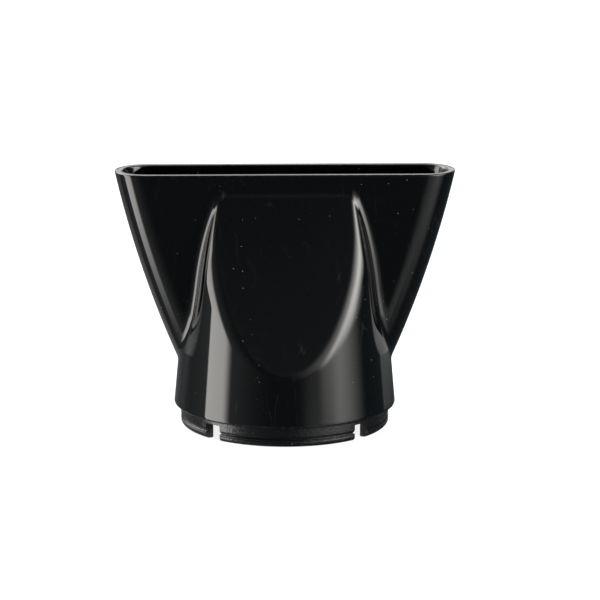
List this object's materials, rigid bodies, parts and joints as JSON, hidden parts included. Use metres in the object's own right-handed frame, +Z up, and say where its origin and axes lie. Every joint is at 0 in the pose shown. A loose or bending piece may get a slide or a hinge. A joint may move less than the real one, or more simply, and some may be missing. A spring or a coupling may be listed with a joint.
{
  "type": "hair dryer concentrator nozzle",
  "caption": "Glossy black air concentrator nozzle for a hair dryer: a round skirt that flares to a wide flat outlet, turning on a slotted snap-in coupling sleeve.",
  "frame": {"origin": "centre of the coupling sleeve's foot, on the surface that the nozzle stands on", "axes": "+Z up along the swivel axis towards the outlet, X along the outlet's long side, Y through its thickness"},
  "size_m": [0.076, 0.05, 0.058],
  "materials": {
    "shell_gloss": "polished black, high gloss",
    "sleeve_satin": "fine-grained satin black"
  },
  "bodies": {
    "sleeve": {"coupling_sleeve": "sleeve_satin"},
    "shell": {"nozzle_shell": "shell_gloss"}
  },
  "joints": [
    {"name": "shell_swivel", "type": "hinge", "parent": "sleeve", "child": "shell", "pos_m": [0, 0, 0.00475], "axis": [0, 0, 1], "continuous": true}
  ]
}
